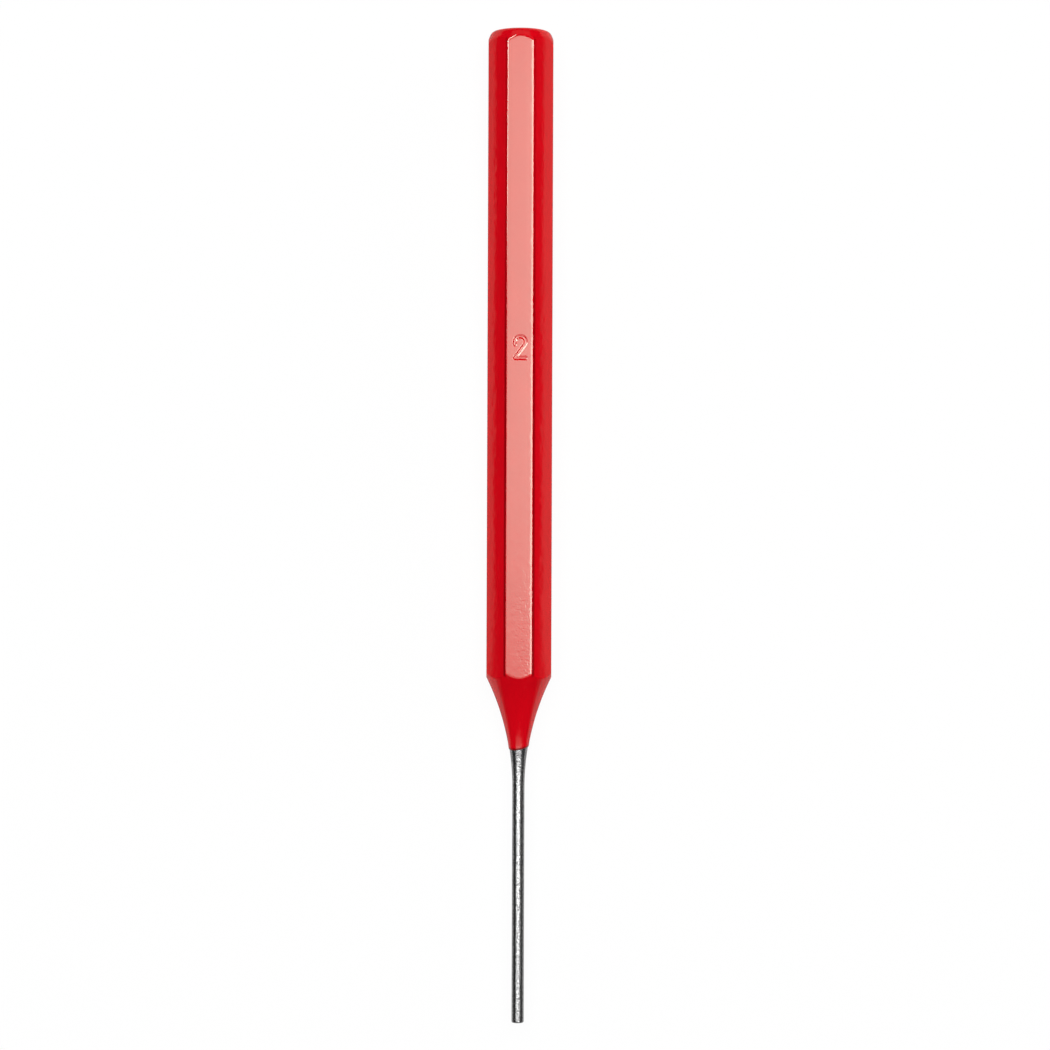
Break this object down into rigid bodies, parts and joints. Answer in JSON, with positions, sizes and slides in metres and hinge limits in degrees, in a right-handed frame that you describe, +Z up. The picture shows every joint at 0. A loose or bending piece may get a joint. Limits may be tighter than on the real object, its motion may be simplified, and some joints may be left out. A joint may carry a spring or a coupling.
{
  "type": "pin punch",
  "caption": "Pin punch with a crowned striking head, lacquered octagonal shank, hollow-turned neck and thin bare steel pin, for driving pins and rivets out of holes.",
  "frame": {"origin": "middle of the box round the punch, on the surface that it lies on", "axes": "+Y along the punch from the pin to the head, +Z up through the flat with the size number"},
  "size_m": [0.0098, 0.15, 0.0098],
  "materials": {
    "blasted_steel": "hardened steel with a fine blasted grain, lightly oiled",
    "red_lacquer": "glossy red dip lacquer with a slight orange peel"
  },
  "bodies": {
    "root": {"steel_punch": "blasted_steel", "lacquer_coat": "red_lacquer"}
  },
  "joints": []
}
